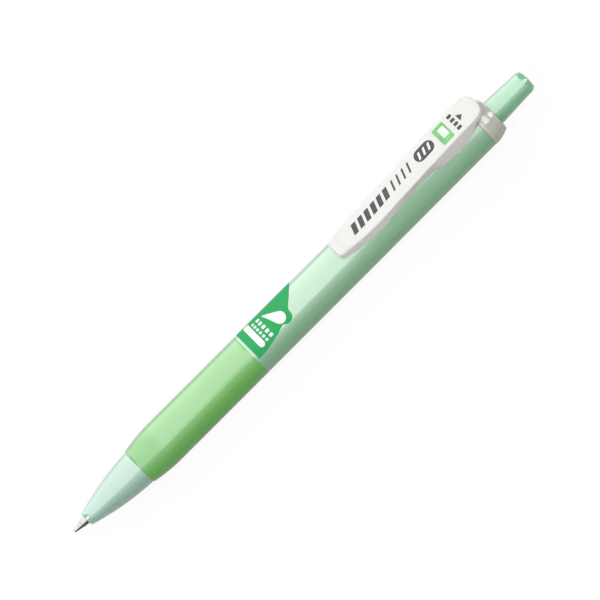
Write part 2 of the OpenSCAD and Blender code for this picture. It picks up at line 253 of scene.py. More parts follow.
def add(material, kind, sockets=None, **settings):
    """Add a node, set its options, and fill its sockets with values or with other outputs."""
    node = material.node_tree.nodes.new(kind)
    for name, value in settings.items():
        setattr(node, name, value)
    for name, value in (sockets or {}).items():
        if isinstance(value, bpy.types.NodeSocket):
            material.node_tree.links.new(value, node.inputs[name])
        else:
            node.inputs[name].default_value = value
    return node


def grain(size):
    """The scale of a pattern whose grains are so many millimetres across."""
    return 1 / (size * MM)


# %% [markdown]
# ## How a moulded or drawn finish is made
# A moulding is never one flat colour: the plastic flows and cools unevenly, so its colour drifts
# a little over some millimetres, its gloss varies with it, and the polished steel of the mould
# leaves a faint waviness. One function makes that network, and each material gives it the
# colours, sizes and gloss of its own plastic or metal.

# %% One network for every solid finish


def finish(name, colours, roughness, drift_mm, grain_mm, relief_mm, stretch=(1, 1, 1), **shader):
    """A material whose colour and gloss drift slowly and whose surface has a fine relief."""
    material = bpy.data.materials.new(name)
    material.use_nodes = True
    material.node_tree.nodes.clear()
    where = add(material, "ShaderNodeTexCoord").outputs["Object"]
    along = add(material, "ShaderNodeMapping", {"Vector": where, "Scale": stretch}).outputs["Vector"]
    drift = add(material, "ShaderNodeTexNoise",
                {"Vector": along, "Scale": grain(drift_mm), "Detail": 1.0}).outputs["Fac"]
    tint = add(material, "ShaderNodeValToRGB", {"Fac": drift})
    tint.color_ramp.interpolation = "EASE"
    for stop, position, colour in zip(tint.color_ramp.elements, (0.2, 0.8), colours):
        stop.position = position
        stop.color = linear(colour)
    haze = add(material, "ShaderNodeMapRange", {
        "Value": drift, "From Min": 0.1, "From Max": 0.9,
        "To Min": roughness[0], "To Max": roughness[1]})
    relief = add(material, "ShaderNodeTexNoise",
                 {"Vector": along, "Scale": grain(grain_mm), "Detail": 2.0})
    bump = add(material, "ShaderNodeBump",
               {"Height": relief.outputs["Fac"], "Distance": relief_mm * MM, "Strength": 1.0})
    surface = add(material, "ShaderNodeBsdfPrincipled", {
        "Base Color": tint.outputs["Color"], "Roughness": haze.outputs["Result"],
        "Normal": bump.outputs["Normal"],
        **{socket.replace("_", " ").title().replace("Ior", "IOR"): value
           for socket, value in shader.items()}})
    add(material, "ShaderNodeOutputMaterial", {"Surface": surface.outputs["BSDF"]})
    print("finish:", name)
    return material


def dress(piece, material, body, slot, *nodes):
    """Give a piece its material and body, and hide the solids that it stands for. The slot is not
    used.
    """
    piece.data.materials.clear()
    piece.data.materials.append(material)
    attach(piece, body)
    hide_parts(*nodes)


# %% [markdown]
# ## The barrel
# The barrel is one long injection-moulded tube of glossy, tinted ABS. Its rear half narrows by a
# tenth of a millimetre, it thins to a core that carries the grip, and its front is threaded for
# the nose. A tube like this is turned: the closed outline of its wall, with the bore and the
# thread, is spun round the axis. The window under the clip is cut afterwards with a box.

# %% Model the barrel
CORE_R = 4.3
THREAD_R = 3.73
SOCKET_R = 3.51
BORE_R = 4.15
THROAT_R = 3.25
SOCKET_LEN = 6.8
THREAD_GAP = 0.06
TAPER_START = 84.0
WINDOW_HALF_W = 2.0


def ridges(base, top, gap):
    """The outline of the four ridges of the thread between the nose and the barrel."""
    starts = [GRIP_FRONT + 1.3 + turn * 1.2 for turn in range(4)]
    shape = ((-gap, base), (0.3 - gap, top), (0.55 + gap, top), (0.85 + gap, base))
    return [(start + step, height) for start in starts for step, height in shape]


barrel_outline = [
    (GRIP_FRONT, CORE_R), (GRIP_REAR, CORE_R), (GRIP_REAR, BARREL_R - 0.03),
    (GRIP_REAR + 0.03, BARREL_R), (GRIP_REAR + 0.4, BARREL_R), (TAPER_START, BARREL_R),
    (BARREL_REAR - 0.12, BARREL_REAR_R), (BARREL_REAR, BARREL_REAR_R - 0.12),
    (BARREL_REAR, BORE_R), (GRIP_REAR + 2.5, BORE_R), (GRIP_REAR + 1.6, THROAT_R),
    (GRIP_FRONT + SOCKET_LEN, THROAT_R), (GRIP_FRONT + SOCKET_LEN, SOCKET_R),
    *reversed(ridges(SOCKET_R, THREAD_R, THREAD_GAP)), (GRIP_FRONT, SOCKET_R),
    (GRIP_FRONT, CORE_R)]
barrel = turned("barrel_shell", barrel_outline)
cut(barrel, block(place(PIVOT[0] - 3.6, 0, -WINDOW_HALF_W),
                  place(BARREL_REAR + 1, BARREL_R + 1, WINDOW_HALF_W)))
shade(barrel)

# %% [markdown]
# ## The barrel's finish
# Pale mint ABS from a polished mould. The eye reads it as gloss first: a bright soft window slides
# along it, and the mint shows at full strength only where no window is reflected. The clear skin
# over the colour is the coat. Real ABS has an index near 1.5. The coat's index is set higher, so
# that the window comes out as bright as on the real pen under lamps that stay low. The waviness
# of the mould is drawn 1.2 mm wide, coarser than life, so that it still shows.

# %% Polished ABS
mint_abs = finish("polished_mint_abs", ("#97c7a4", "#9acaa7"), (0.10, 0.14), drift_mm=14,
                  grain_mm=1.2, relief_mm=0.0012, ior=1.52, coat_weight=1.0, coat_roughness=0.05,
                  coat_ior=2.35)
dress(barrel, mint_abs, "body", "barrel_plastic", "barrel")

# %% [markdown]
# ## The nose
# The nose is screwed off to change the refill. It is a gently bulging cone that ends in a small
# rolled rim round the metal tip. Behind the joint it goes on as a threaded spigot inside the
# barrel, and in front it holds the seat of the return spring. It is turned like the barrel. Its
# ABS is a cooler, frosty green, and its coat is a little rougher, so the edge of the bright band
# on it is softer than on the barrel.

# %% Model the nose
SPIGOT_R = 3.45
SPIGOT_LEN = 6
SPRING_BORE_R = 2.75
SPRING_SEAT = 14.8
HOLDER_BORE_R = 2.2
HOLDER_STOP = 8.2
TIP_HOLE_R = 1.25
nose_outline = [
    (NOSE_FRONT, TIP_HOLE_R), (NOSE_FRONT, 1.34), (NOSE_FRONT + 0.03, 1.46), (NOSE_FRONT + 0.12, 1.59),
    *bowed((NOSE_FRONT + 0.4, 1.77), (GRIP_FRONT - 0.1, 4.47), 0.5, steps=20),
    (GRIP_FRONT, 4.4), (GRIP_FRONT, SPIGOT_R), *ridges(SPIGOT_R, 3.67, 0),
    (GRIP_FRONT + SPIGOT_LEN, SPIGOT_R), (GRIP_FRONT + SPIGOT_LEN, SPRING_BORE_R),
    (SPRING_SEAT, SPRING_BORE_R), (SPRING_SEAT, HOLDER_BORE_R), (HOLDER_STOP, HOLDER_BORE_R),
    (HOLDER_STOP, TIP_HOLE_R), (NOSE_FRONT, TIP_HOLE_R)]
nose = turned("nose_shell", nose_outline)
shade(nose)
frost_abs = finish("polished_frost_green_abs", ("#a8cfbc", "#acd3c0"), (0.12, 0.16), drift_mm=9,
                   grain_mm=1.0, relief_mm=0.0012, ior=1.52, coat_weight=1.0,
                   coat_roughness=0.1, coat_ior=2.5)
dress(nose, frost_abs, "body", "nose_plastic", "nose_cone")

# %% [markdown]
# ## The grip
# A sleeve of thermoplastic rubber is stretched over the barrel's core. It swells from the nose to
# its full girth in eight millimetres and then runs level with the barrel. Rubber of this kind
# takes a soft gloss from the mould, with a fine leathery grain that breaks up the highlight.

# %% Model the grip
GRIP_BORE_R = 4.32
grip_outline = [
    (GRIP_FRONT, GRIP_BORE_R), (GRIP_FRONT, 4.5), (GRIP_FRONT + 0.05, 4.61), (GRIP_FRONT + 0.16, 4.68),
    *bowed((GRIP_FRONT + 0.3, 4.72), (GRIP_FRONT + 8.1, GRIP_R), 0.19, steps=14),
    (GRIP_REAR - 0.25, GRIP_R), (GRIP_REAR - 0.05, GRIP_R - 0.01), (GRIP_REAR, GRIP_R - 0.04),
    (GRIP_REAR, GRIP_BORE_R), (GRIP_FRONT, GRIP_BORE_R)]
grip = turned("grip_rubber", grip_outline)
shade(grip)
leaf_rubber = finish("moulded_leaf_green_rubber", ("#75bf64", "#78c167"), (0.24, 0.28),
                     drift_mm=6, grain_mm=0.35, relief_mm=0.003, ior=1.5, coat_weight=0.8,
                     coat_roughness=0.12, coat_ior=2.3)
dress(grip, leaf_rubber, "body", "grip_rubber", "grip_sleeve")

# %% [markdown]
# ## The crown
# The crown is an off-white ring pressed into the back of the barrel. The button slides through
# it, and under the clip it carries a bracket with the knuckle that the clip rocks on. The ring
# is turned, and the bracket is built up from a block and joined on, as the mould would have it.
# Its ABS is satin under a thin clear gloss, so the pale body looks soft and its highlights small.

# %% Model the crown
SLEEVE_R = 4.05
GUIDE_R = 3.65
MOUTH_R = 3.25
MOUTH_DEPTH = 1.5
rim = [(CROWN_REAR - 0.75 + 0.75 * math.sin(a), 3.95 + 0.75 * math.cos(a))
       for a in (math.radians(10 * step) for step in range(1, 10))]
crown_outline = [
    (CROWN_FRONT, GUIDE_R), (CROWN_FRONT, SLEEVE_R), (BARREL_REAR, SLEEVE_R),
    (BARREL_REAR, BARREL_REAR_R), (BARREL_REAR + 0.08, BARREL_REAR_R + 0.09),
    *bowed((BARREL_REAR + 0.2, BARREL_REAR_R + 0.09), (CROWN_REAR - 0.7, 4.72), 0.16, steps=8),
    *rim, (CROWN_REAR, MOUTH_R + 0.1), (CROWN_REAR - 0.1, MOUTH_R),
    (CROWN_REAR - MOUTH_DEPTH, MOUTH_R), (CROWN_REAR - MOUTH_DEPTH, GUIDE_R),
    (CROWN_FRONT, GUIDE_R)]
crown = turned("crown_ring", crown_outline)
print(crown.name, "turned,", len(crown.data.polygons), "faces")

# %% [markdown]
# ## The crown's bracket
# The bracket is a flat web with a post, a round knuckle and a low seat for the clip's spring.
# They are joined to the ring first. The bore, the pin's hole, the latch's window and the slot for
# the clip's stud come last, because a cut made before the joining would be filled again.

# %% Build the bracket and cut the openings
BRACKET_HALF_W = 1.9
WEB_TOP = 5.25
POST_FOOT = 5.05
KNUCKLE_R = 1.15
PIN_HOLE_R = 0.71
LATCH_WINDOW = (121.4, 124.4)
SLOT_HALF_W = 0.65
cut(crown, block(place(PIVOT[0] - 3.4, 3.75, -BRACKET_HALF_W),
                 place(BARREL_REAR + 0.5, WEB_TOP, BRACKET_HALF_W)), "UNION")
cut(crown, block(place(PIVOT[0] - KNUCKLE_R, POST_FOOT, -BRACKET_HALF_W),
                 place(PIVOT[0] + KNUCKLE_R, PIVOT[1], BRACKET_HALF_W)), "UNION")
cut(crown, rod(place(*PIVOT, -BRACKET_HALF_W), place(*PIVOT, BRACKET_HALF_W), KNUCKLE_R), "UNION")
cut(crown, rod(place(STUD[0], POST_FOOT), place(STUD[0], 5.4), 1.85), "UNION")
cut(crown, rod(place(CROWN_FRONT - 1), place(CROWN_REAR - MOUTH_DEPTH), GUIDE_R, TURN_STEPS))
cut(crown, rod(place(*PIVOT, -3), place(*PIVOT, 3), PIN_HOLE_R))
cut(crown, block(place(LATCH_WINDOW[0], 0, -1.1), place(LATCH_WINDOW[1], 4.55, 1.1)))
cut(crown, block(place(STUD[0] - 1.1, 4.3, -SLOT_HALF_W),
                 place(STUD[0] + SLOT_HALF_W, 6.4, SLOT_HALF_W)))
shade(crown)
ivory_abs = finish("satin_ivory_abs", ("#cbcac3", "#cfcec7"), (0.22, 0.28), drift_mm=5,
                   grain_mm=0.5, relief_mm=0.0015, ior=1.5, coat_weight=1.0,
                   coat_roughness=0.06, coat_ior=2.15)
dress(crown, ivory_abs, "body", "crown_plastic", "crown")

# %% [markdown]
# ## The button
# The button is a plain mint rod with a softly domed end. It tapers a little towards the thumb so
# that it leaves the mould easily. Its thin stem is pressed into the slider inside the pen. Its
# ABS is polished like the barrel's.

# %% Model the button
BUTTON_R = 3.15
STEM_R = 1.28
STEM_END = 124.3
shoulder_arc = [(BUTTON_REAR - 1.75 + 1.5 * math.sin(a), 1.99 + 0.79 * math.cos(a))
                for a in (math.radians(11.25 * step) for step in range(8))]
button_outline = [
    (BUTTON_FRONT, 0), (BUTTON_FRONT, 1.05), (BUTTON_FRONT + 0.2, STEM_R), (STEM_END, STEM_R),
    (STEM_END, BUTTON_R - 0.1), (STEM_END + 0.1, BUTTON_R), (CROWN_REAR + 0.5, BUTTON_R),
    (CROWN_REAR + 3.8, 3.0), (BUTTON_REAR - 4, 2.85), *shoulder_arc,
    *bowed((BUTTON_REAR - 0.22, 1.9), (BUTTON_REAR, 0), 0.05, steps=6)]
button = turned("button_cap", button_outline, steps=72)
shade(button)
button_abs = finish("polished_button_abs", ("#8fcaa2", "#93cda5"), (0.10, 0.14), drift_mm=6,
                    grain_mm=0.9, relief_mm=0.0012, ior=1.52, coat_weight=1.0,
                    coat_roughness=0.05, coat_ior=2.2)
dress(button, button_abs, "button", "button_plastic", "push_button")

# %% [markdown]
# ## The writing tip
# The tip is turned from nickel silver: a slim cone down to the ball, a small step where the tool
# changed, and a straight shank pressed into the white holder. It is spun like the others, at a
# finer scale, and its socket for the ball is part of the outline. The metal is bright, and its
# grain is stretched round the axis, which leaves the faint rings of a lathe tool.

# %% Model the writing tip
SHANK_R = 1.15
SHANK_END = 13.0
INK_HOLE_R = 0.14
tip_outline = [
    (0.12, 0.19), (0.08, 0.21), (0.08, 0.28), (0.3, 0.38), (2.35, 0.80), (2.42, 0.86),
    (3.6, 1.0), (5.2, SHANK_R), (SHANK_END, SHANK_R), (SHANK_END, 0.75), (4.3, 0.7),
    (1.4, INK_HOLE_R), (0.42, INK_HOLE_R), (0.36, 0.19), (0.19, 0.205), (0.12, 0.19)]
tip = turned("writing_tip_turned", tip_outline, steps=64)
shade(tip, 12)
nickel_silver = finish("turned_nickel_silver", ("#c3c1bd", "#d2d0cc"), (0.10, 0.14), drift_mm=1.5,
                       grain_mm=0.25, relief_mm=0.0003, stretch=(1, 0.08, 0.08), metallic=1.0)
dress(tip, nickel_silver, "refill", "tip_metal", "writing_tip")

# %% [markdown]
# ## The clip's shape in numbers
# The clip is a long channel: a nearly flat top, two cheeks, a jaw at the front that rests on the
# barrel, and a pair of lugs round the pivot. Seen from above its front is square with round
# corners, its sides bow, and its tail is a blunt oval. Each line below gives a height against the
# distance from the clip's front: the top's, and the cheeks' lower edge. The lean line says how far
# the cheeks lean out as they go down, for each millimetre of depth. They lean out a little at the
# jaw and the lugs, and in along the arm. Short functions read the lines, so that the printed
# marks can later follow the same top.

# %% Heights and widths of the clip
CLIP_HALF_W = 3.37
EDGE_R = 0.35
LEAN_LINE = [(0, 0.05), (13, 0.05), (16, -0.05), (22.8, -0.17), (28.2, -0.17), (30, 0.05),
             (45.4, 0.05)]
TOP_LINE = [(0, 6.95), (10.5, 7.08), (28.5, 8.68), (40, 9.45), (45.4, 9.5)]
UNDER_LINE = [
    (0, 3.9), (11.3, 3.9), (11.9, 4.1), (13.9, 4.78), (16.1, 4.75), (19.5, 4.9), (22.8, 5.01),
    (27.2, 5.58), (28.5, 5.62), (29.4, 5.75), (30.1, 5.05), (30.7, 4.88), (34.4, 4.88), (34.8, 4.3),
    (35.4, 4.3), (35.8, 4.88), (38.3, 5.08), (40.5, 6.75), (42.6, 8.1), (45.4, 8.4)]


def read_line(line, where):
    """Read a height from a line of (along the clip, height) corners."""
    for (a, low), (b, high) in zip(line, line[1:]):
        if where <= b:
            return low + (high - low) * max(where - a, 0) / (b - a)
    return line[-1][1]


def eased(line, where, reach):
    """Read a line with its corners rounded off over a reach on either side."""
    return sum(read_line(line, where + reach * step / 3) for step in range(-3, 4)) / 7


def clip_top(where):
    """Height of the clip's top above the axis."""
    return eased(TOP_LINE, where, 2.5)


def clip_half_width(where):
    """Half of the clip's width at the top."""
    rear = CLIP_REAR - CLIP_FRONT
    if where < 1:
        return 1.45 + math.sqrt(1 - (1 - where) ** 2)
    if where < 12.5:
        return CLIP_HALF_W - 0.92 * ((12.5 - where) / 11.5) ** 2
    if where > rear - 4.5:
        return CLIP_HALF_W * (1 - ((where - rear + 4.5) / 4.5) ** 3) ** (1 / 3)
    return CLIP_HALF_W


# %% [markdown]
# ## Modelling the clip
# The clip starts as its outline seen from above. The outline is filled, and the face is cut
# across at stations along the clip, closely where the cheeks' lower edge turns. Two long cuts
# mark the walls of the channel.

# %% Draw the clip from above
CLIP_LEN = CLIP_REAR - CLIP_FRONT
CHANNEL = (4.0, CLIP_LEN - 2.8)
CHANNEL_HALF_W = 2.4


def flat(name, outline):
    """Fill an outline of (along, across) points in millimetres, at the height of the axis."""
    points = [place(a, 0, b) for a, b in outline]
    piece = begin(name, points[0])
    draw(points)
    bpy.ops.mesh.select_all(action="SELECT")
    bpy.ops.mesh.remove_doubles(threshold=0.001 * MM)
    bpy.ops.mesh.edge_face_add()
    return piece


def slice_at(point, normal):
    """Cut the piece in edit mode along a plane, keeping both sides."""
    bpy.ops.mesh.select_all(action="SELECT")
    bpy.ops.mesh.bisect(plane_co=point, plane_no=normal)


def pick(piece, kind, wanted):
    """Select, in edit mode, the edges or faces that pass a test."""
    bpy.ops.mesh.select_mode(type=kind)
    bpy.ops.mesh.select_all(action="DESELECT")
    mesh = bmesh.from_edit_mesh(piece.data)
    mesh.normal_update()
    for part in mesh.edges if kind == "EDGE" else mesh.faces:
        part.select_set(wanted(part))
    bmesh.update_edit_mesh(piece.data)


edge_places = [0, 0.02, 0.08, 0.18, 0.32, 0.5, 0.74, 1.0] + [2.4 + 1.5 * i for i in range(8)]
edge_places += [CLIP_LEN - 4.5] + [CLIP_LEN - 4.5 * math.cos(math.radians(a)) for a in
                                   (20, 35, 48, 58, 66, 73, 78, 82, 85, 87, 89)] + [CLIP_LEN]
side = [(CLIP_FRONT + u, clip_half_width(u)) for u in edge_places]
outline = [(a, -b) for a, b in side] + [(a, b) for a, b in reversed(side[:-1])]
clip = flat("clip_shell", outline + outline[:1])
lug_stations = [27.0 + 0.35 * step for step in range(39)]
stations = [2.0, *[CHANNEL[0] + 1.0 * step for step in range(8)], 11.4, 11.7, 12.0, 12.6, 13.3, 14,
            *[15 + 1.2 * step for step in range(10)], *lug_stations, 41.0, 41.8, CHANNEL[1], 43.8]
for where in stations:
    slice_at(place(CLIP_FRONT + where), (1, 0, 0))
for across in (-CHANNEL_HALF_W, CHANNEL_HALF_W):
    slice_at(place(0, 0, across), (0, 1, 0))
print(len(stations), "stations across the clip")

# %% [markdown]
# ## Raising the clip
# The face is extruded into a slab, and the channel is extruded up into it from below. Then each
# corner is lifted to the height that belongs to its place along the clip, the lower corners of
# the cheeks are moved by their lean, and a bevel rounds the edge of the top.

# %% Raise the clip from the slab
ROOF_T = 1.3
bpy.ops.mesh.select_all(action="SELECT")
bpy.ops.mesh.extrude_region_move(TRANSFORM_OT_translate={"value": (0, 0, -1 * MM)})
bpy.ops.mesh.select_all(action="SELECT")
bpy.ops.mesh.normals_make_consistent(inside=False)


def in_channel(face):
    """Whether a face of the slab's underside lies over the channel."""
    middle = face.calc_center_median()
    where = (middle[0] - BALL_X) / MM - CLIP_FRONT
    return (face.normal.z < -0.9 and CHANNEL[0] < where < CHANNEL[1]
            and abs(middle[1]) < CHANNEL_HALF_W * MM)


pick(clip, "FACE", in_channel)
bpy.ops.mesh.extrude_region_move(TRANSFORM_OT_translate={"value": (0, 0, 0.5 * MM)})
bpy.ops.object.mode_set(mode="OBJECT")
for corner in clip.data.vertices:
    where = (corner.co.x - BALL_X) / MM - CLIP_FRONT
    level = round((corner.co.z - AXIS_Z) / MM, 1)
    top, under = clip_top(where), eased(UNDER_LINE, where, 0.35)
    height = {0.0: top, -0.5: top - ROOF_T, -1.0: under}[level]
    corner.co.z = AXIS_Z + height * MM
    if level == -1.0 and abs(corner.co.y) > (CHANNEL_HALF_W + 0.02) * MM:
        lean = eased(LEAN_LINE, where, 0.35)
        corner.co.y += math.copysign(1, corner.co.y) * lean * (top - under) * MM
make_active(clip)
bpy.ops.object.mode_set(mode="EDIT")
pick(clip, "EDGE", lambda edge: len(edge.link_faces) == 2
     and max(face.normal.z for face in edge.link_faces) > 0.9
     and min(abs(face.normal.z) for face in edge.link_faces) < 0.3)
bpy.ops.mesh.bevel(offset=EDGE_R * MM, segments=4, clamp_overlap=False)
seal()
print("clip:", len(clip.data.polygons), "faces before it is fitted")

# %% [markdown]
# ## Fitting the clip to the pen
# The jaw and the cheeks are hollowed to the round of the barrel with a tenth of a millimetre to
# spare, once with the clip at rest and once with it pressed, so that nothing touches on the
# way. The pin's blind holes and the stud that frees the latch are the last two features. The
# plastic is satin white ABS without a coat, so it shows an even sheen and no sharp reflections.

# %% Fit the clip
JAW_GAP = 0.1
JAW_SIDES = 128
OPEN_TURN = 10
PIN_HALF_LEN = 2.92
PIN_BORE_R = 0.75
STUD_R = 0.5
cut(clip, rod(place(CLIP_FRONT - 2), place(CLIP_REAR + 2), BARREL_R + JAW_GAP, JAW_SIDES))
pressed = rod(place(PIVOT[0] - 10), place(CLIP_REAR + 5), BARREL_R + JAW_GAP, JAW_SIDES)
pivot_point = place(*PIVOT)
rocked = Matrix.Rotation(math.radians(-OPEN_TURN), 4, "Y")
pressed.data.transform(Matrix.Translation(pivot_point) @ rocked
                       @ Matrix.Translation(-pivot_point))
cut(clip, pressed)
cut(clip, rod(place(*PIVOT, -PIN_HALF_LEN), place(*PIVOT, PIN_HALF_LEN), PIN_BORE_R, 32))
cut(clip, rod(place(*STUD), place(STUD[0], 8.4), STUD_R, 32), "UNION")
shade(clip, 30)
clip_abs = finish("satin_white_abs", ("#e6e5e2", "#e8e7e4"), (0.32, 0.38), drift_mm=6,
                  grain_mm=0.4, relief_mm=0.001, ior=1.5)
dress(clip, clip_abs, "clip", "clip_plastic", "clip")

# %% [markdown]
# ## The springs
# Both springs are cold-drawn wire. A ring of wire is swept round the spring's axis with the
# Screw modifier, which is how a coil is wound. Each spring is held between two bodies, one on
# the pen and one on the moving part. Drawn wire is bright but not polished, so its highlights
# are soft.

# %% Winding a spring
WIRE_SIDES = 12
STEPS_A_TURN = 28


def wind(name, base, axis, coil_r, wire, length, turns):
    """Wind a coil of wire that rises from a base point along the X or Z axis."""
    bpy.ops.object.select_all(action="DESELECT")
    out = Vector((0, 0, coil_r * MM)) if axis == "X" else Vector((coil_r * MM, 0, 0))
    bpy.ops.mesh.primitive_circle_add(vertices=WIRE_SIDES, radius=wire / 2 * MM, location=out,
                                      rotation=(math.pi / 2, 0, 0))
    bpy.ops.object.transform_apply(location=True, rotation=True, scale=True)
    spring = bpy.context.object
    spring.name = name
    steps = round(turns * STEPS_A_TURN)
    apply(spring, "SCREW", axis=axis, angle=math.tau * turns, screw_offset=length * MM,
          steps=steps, render_steps=steps)
    spring.data.transform(Matrix.Translation(base))
    bpy.ops.object.mode_set(mode="EDIT")
    bpy.ops.mesh.select_all(action="SELECT")
    bpy.ops.mesh.fill_holes(sides=0)
    seal()
    shade(spring, 60)
    return spring


# %% [markdown]
# ## The two coils
# The return spring is eight turns of 0.35 mm wire round the refill, from its seat in the nose to
# the refill's shoulder. The clip's spring is four turns of finer wire that stand between the crown
# and the clip. Their ends are read from the frame's plain solids.

# %% Wind the springs
SEAT, SHOULDER = span("return_spring")
RETURN_WIRE = 0.35
RETURN_COIL_R = 1.825
CLIP_WIRE = 0.3
CLIP_COIL_R = 1.2
spring_low, spring_high = [(corner[2] - AXIS_Z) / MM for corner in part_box("clip_spring")]
return_coil = wind("return_coil", place(SEAT + RETURN_WIRE / 2), "X", RETURN_COIL_R, RETURN_WIRE,
                   SHOULDER - SEAT - RETURN_WIRE, 8)
clip_coil = wind("clip_coil", place(STUD[0], spring_low + CLIP_WIRE / 2), "Z", CLIP_COIL_R,
                 CLIP_WIRE, spring_high - spring_low - CLIP_WIRE, 4)
spring_wire = finish("drawn_spring_wire", ("#9c9ea2", "#b4b6ba"), (0.22, 0.34), drift_mm=0.8,
                     grain_mm=0.15, relief_mm=0.001, metallic=1.0)
for coil, node, body in ((return_coil, "return_spring", "refill"), (clip_coil, "clip_spring", "clip")):
    coil.data.materials.append(spring_wire)
    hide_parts(node)
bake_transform(return_coil)
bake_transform(clip_coil)

# %% [markdown]
# ## Flat prints and films
# A printed mark is a shape cut from a very thin sheet. Its outline is drawn flat and filled, it
# is cut into narrow strips so that it can bend, and then it is laid on the clip's top or wrapped
# round the barrel. Solidify gives it the thickness of a coat of ink. Printing ink dries matt, so a
# mark keeps its colour where the plastic shines.

# %% Drawing flat shapes
INK_T = 0.012


def strips(piece, step, direction):
    """Cut the flat piece in edit mode into strips along X or Y."""
    index = "XY".index(direction)
    values = [corner.co[index] for corner in bmesh.from_edit_mesh(piece.data).verts]
    first = math.ceil(min(values) / (step * MM))
    last = math.floor(max(values) / (step * MM))
    for number in range(first, last + 1):
        point, normal = Vector(), Vector()
        point[index], normal[index] = number * step * MM, 1
        slice_at(point, normal)


def oblong(along, across, length, width, corner, steps=5):
    """The outline of a bar with rounded corners."""
    spots = ((1, 1, 0), (-1, 1, 90), (-1, -1, 180), (1, -1, 270))
    return [(along + sx * (length / 2 - corner) + corner * math.cos(math.radians(t)),
             across + sy * (width / 2 - corner) + corner * math.sin(math.radians(t)))
            for sx, sy, start in spots
            for t in [start + 90 * step / steps for step in range(steps + 1)]]


def thicken(piece, thickness):
    """Give a laid sheet its thickness, outwards."""
    apply(piece, "SOLIDIFY", thickness=thickness * MM, offset=1.0)


# %% [markdown]
# ## The label
# The label is a matt green film stuck on the barrel just behind the grip. It is a sail shape that
# reaches a little more than a third of the way round on each side, with a round ear at the rear
# edge. It is drawn as a strip of the unrolled barrel, where across means along the girth,
# and then rolled up. The face that cannot be seen from the front is taken to be its mirror.

# %% Model the label
FILM_R = BARREL_R + 0.02
FILM_T = 0.04
LABEL_TURN = 60
STRIP_ROUND = 0.35


def unrolled(along, reach):
    """A point of the unrolled label: reach is how far it stands towards the label's middle."""
    return along, math.acos(max(-1.0, min(1.0, reach / BARREL_R))) * FILM_R


def roll(piece, lift=0.0):
    """Wrap a flat piece round the barrel, its zero line on the label's middle."""
    for corner in piece.data.vertices:
        turn = math.radians(LABEL_TURN) - corner.co.y / MM / FILM_R
        out = (FILM_R + lift) * MM
        corner.co.y = out * math.sin(turn)
        corner.co.z = AXIS_Z + out * math.cos(turn)


sail = [(56.1, -1.95), (58.6, -1.77), (60.8, -1.39), (63.0, -0.88), (65.2, -0.12)]
ear = [(66.6 + 1.7 * math.cos(t), 0.75 + 1.7 * math.sin(t))
       for t in (math.radians(218 + 14 * step) for step in range(12))]
peak = [(68.45, 1.6), (69.5, 2.5), (70.6, 3.45), (71.7, 4.45), (72.3, 5.0), (72.7, BARREL_R)]
half_edge = [unrolled(a, q) for a, q in sail + ear + peak]
label_edge = half_edge + [(a, -girth) for a, girth in reversed(half_edge[:-1])]
label = flat("label_film_wrap", label_edge + label_edge[:1])
strips(label, STRIP_ROUND, "Y")
seal()
roll(label)
thicken(label, FILM_T)
shade(label, 40)
label_ink = finish("printed_green_film", ("#22a85c", "#24ab5f"), (0.58, 0.64), drift_mm=4,
                   grain_mm=0.3, relief_mm=0.001, ior=1.45)
dress(label, label_ink, "body", "label_print", "label_film")

# %% [markdown]
# ## The marks on the label
# The real film carries lettering, which a reusable part should not. A white pill, two rows of
# short dashes and one large ink drop take its place: they keep the rhythm of the print and say
# nothing. Each is drawn on the unrolled film in the half that faces the reader.

# %% Print the label
white_ink = finish("white_printing_ink", ("#eef6f1", "#f6fbf8"), (0.48, 0.58), drift_mm=3,
                   grain_mm=0.2, relief_mm=0.0008, ior=1.45)


def print_on_label(name, outline):
    """Print one outline of (along, girth) points on the label."""
    mark = flat(name, outline + outline[:1])
    strips(mark, STRIP_ROUND, "Y")
    seal()
    roll(mark, FILM_T + 0.004)
    thicken(mark, INK_T)
    shade(mark, 40)
    dress(mark, white_ink, "body", "label_print")


ROW_START = 2.9
ROW_LEN = 6.2
print_on_label("label_pill", oblong(58.8, 5.3, 1.5, 7.8, 0.74))
for row, (along, dash, marks) in enumerate(((60.3, 0.7, 6), (61.7, 1.0, 5))):
    for number in range(marks):
        girth = ROW_START + (number + 0.5) * ROW_LEN / marks
        print_on_label(f"label_dash_{row}_{number}",
                       oblong(along, girth, dash, ROW_LEN / marks * 0.62, 0.16, 2))

# %% [markdown]
# ## The drop on the label
# A drop is a circle with a point beside it, joined by two straight lines that just touch the
# circle. The angle at which they touch follows from the circle's radius and the point's distance.

# %% Print the drop
round_end, point_end = Vector((65.7, 7.1)), Vector((62.9, 3.3))
drop_r = 1.45
heading = math.atan2(*(point_end - round_end).yx)
opening = math.acos(drop_r / (point_end - round_end).length)
turns = [heading + opening + (math.tau - 2 * opening) * i / 18 for i in range(19)]
drop = [tuple(point_end)] + [(round_end.x + drop_r * math.cos(t), round_end.y + drop_r * math.sin(t))
                             for t in turns]
print_on_label("label_drop", drop)

# %% [markdown]
# ## The marks on the clip
# The top of the clip is pad-printed in dark grey and green. Again plain shapes stand for the
# lettering: six heavy and four light slanted bars, a capsule with three pale bars, a green square
# frame, a row of short bars and a small arrow that shows where to press.

# %% Printing on the clip
STRIP_ALONG = 0.45
grey_ink = finish("dark_grey_printing_ink", ("#4a4a4c", "#545456"), (0.42, 0.52), drift_mm=2,
                  grain_mm=0.2, relief_mm=0.0008, ior=1.45)
green_ink = finish("green_printing_ink", ("#8fce8b", "#6ec06e"), (0.42, 0.52), drift_mm=2,
                   grain_mm=0.2, relief_mm=0.0008, ior=1.45)


